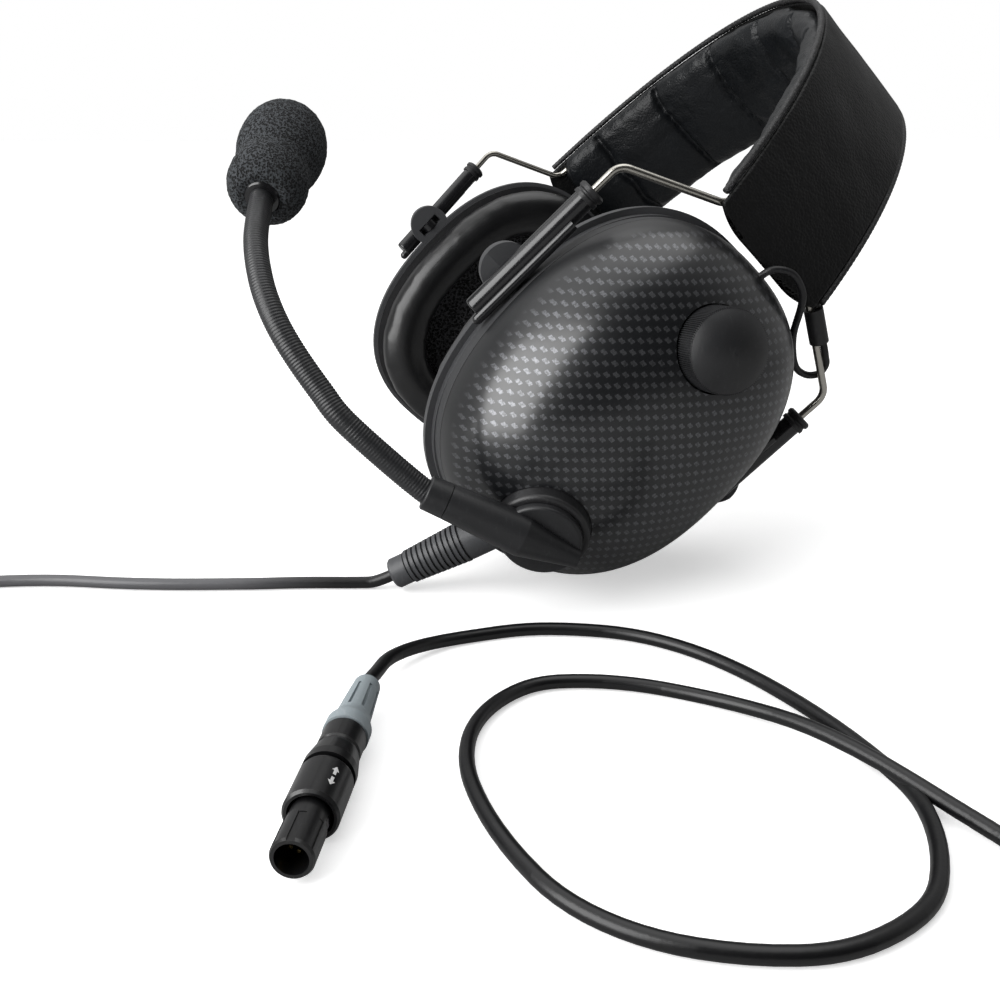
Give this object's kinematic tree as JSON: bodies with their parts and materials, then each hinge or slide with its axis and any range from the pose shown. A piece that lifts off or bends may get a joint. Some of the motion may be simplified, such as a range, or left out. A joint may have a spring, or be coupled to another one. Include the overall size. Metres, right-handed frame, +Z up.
{
  "type": "aviation headset",
  "caption": "Over-ear aviation headset with domed ear cups, padded wire-frame headband, side boom microphone, volume knob and a cord ending in a push-pull plug.",
  "frame": {"origin": "middle of the whole headset's footprint, on the table top", "axes": "+Z up from the table; +X towards the wearer's left, the side with the boom and knob; the headset lies leaned back 45 degrees, so the wearer's back is towards +Y and down"},
  "size_m": [0.4168, 0.346, 0.169],
  "materials": {
    "cup_finish": "gloss, dark lattice pattern",
    "cup_base": "satin dark gray",
    "black_plastic": "satin black",
    "black_gloss": "gloss black",
    "charcoal_rubber": "satin charcoal",
    "seal_skin": "semi-gloss smooth synthetic leather",
    "band_leather": "fine-grained black leather",
    "foam": "open-cell foam",
    "core_sheet": "matt",
    "spring_steel": "drawn spring wire",
    "steel": "plain steel",
    "cable_black": "satin cable jacket",
    "cord_jacket": "satin dark gray cable jacket",
    "relief_rubber": "satin gray rubber",
    "plug_rubber": "matt blue-gray rubber",
    "plug_black": "gloss black coated brass",
    "contact_gold": "gilt contacts",
    "board_green": "solder resist",
    "speaker_metal": "black"
  },
  "bodies": {
    "left_cup": {"left_cup_shell": "cup_finish", "left_cup_base": "cup_base", "left_seal_plate": "black_plastic", "left_ear_seal": "seal_skin", "left_speaker_plate": "black_plastic", "left_speaker": "speaker_metal", "left_plate_screws": "steel", "left_foam_liner": "foam", "left_damping_foam": "foam", "left_pivot_pins": "steel", "left_cable_loop": "cable_black", "volume_pot": "steel", "pot_nut": "steel", "circuit_board": "board_green", "boom_mount": "black_plastic", "cord_strain_relief": "relief_rubber", "cord": "cord_jacket", "plug_bend_relief": "plug_rubber", "plug_back_nut": "plug_black", "plug_backshell": "plug_black", "plug_shell": "plug_black", "plug_latch": "steel", "plug_insert": "black_plastic", "plug_contacts": "contact_gold"},
    "knob": {"volume_knob": "charcoal_rubber", "pot_shaft": "steel"},
    "boom": {"boom_holder": "charcoal_rubber", "boom_end_ring": "charcoal_rubber", "boom_axle": "steel", "boom_lower": "charcoal_rubber"},
    "boom_tip": {"boom_upper": "charcoal_rubber", "mic_neck": "black_gloss", "mic_capsule": "black_plastic", "windscreen": "foam"},
    "plug_sleeve": {"plug_release_sleeve": "plug_black"},
    "left_yoke": {"left_front_sleeve": "black_gloss", "left_rear_sleeve": "black_gloss", "left_sleeve_collars": "black_plastic"},
    "headband": {"front_spring_wire": "spring_steel", "rear_spring_wire": "spring_steel", "band_cover": "band_leather", "band_core": "core_sheet", "band_pad": "band_leather", "band_piping": "band_leather", "band_cable": "cable_black", "cable_tubes": "black_plastic"},
    "right_yoke": {"right_front_sleeve": "black_gloss", "right_rear_sleeve": "black_gloss", "right_sleeve_collars": "black_plastic"},
    "right_cup": {"right_cup_shell": "cup_finish", "right_cup_base": "cup_base", "right_seal_plate": "black_plastic", "right_ear_seal": "seal_skin", "right_speaker_plate": "black_plastic", "right_speaker": "speaker_metal", "right_plate_screws": "steel", "right_foam_liner": "foam", "right_damping_foam": "foam", "right_pivot_pins": "steel", "right_cable_loop": "cable_black"}
  },
  "joints": [
    {"name": "left_tilt", "type": "hinge", "parent": "left_cup", "child": "left_yoke", "pos_m": [-0.01072, 0.06125, 0.05695], "axis": [0, 0.7071, -0.7071], "range_deg": [-10, 10]},
    {"name": "left_height", "type": "slide", "parent": "left_yoke", "child": "headband", "axis": [0.1445, 0.6997, 0.6997], "range_m": [0, 0.025], "deforming": ["left_cable_loop"]},
    {"name": "right_height", "type": "slide", "parent": "headband", "child": "right_yoke", "axis": [0.1445, -0.6997, -0.6997], "range_m": [0, 0.025], "deforming": ["right_cable_loop"]},
    {"name": "right_tilt", "type": "hinge", "parent": "right_yoke", "child": "right_cup", "pos_m": [-0.16392, 0.06125, 0.05695], "axis": [0, 0.7071, -0.7071], "range_deg": [-10, 10]},
    {"name": "boom_swivel", "type": "hinge", "parent": "left_cup", "child": "boom", "pos_m": [0.02748, 0.0302, 0.02364], "axis": [0.8829, -0.332, -0.332], "range_deg": [-45, 35]},
    {"name": "boom_flex", "type": "hinge", "parent": "boom", "child": "boom_tip", "pos_m": [0.01153, -0.03125, 0.07186], "axis": [0, 0.7071, 0.7071], "range_deg": [-20, 20]},
    {"name": "volume_knob_turn", "type": "hinge", "parent": "left_cup", "child": "knob", "pos_m": [0.02618, 0.07525, 0.07236], "axis": [0.9925, 0.0862, 0.0862], "range_deg": [-135, 135]},
    {"name": "plug_release", "type": "slide", "parent": "left_cup", "child": "plug_sleeve", "axis": [-0.9576, 0.2882, 0], "range_m": [0, 0.0012]}
  ]
}
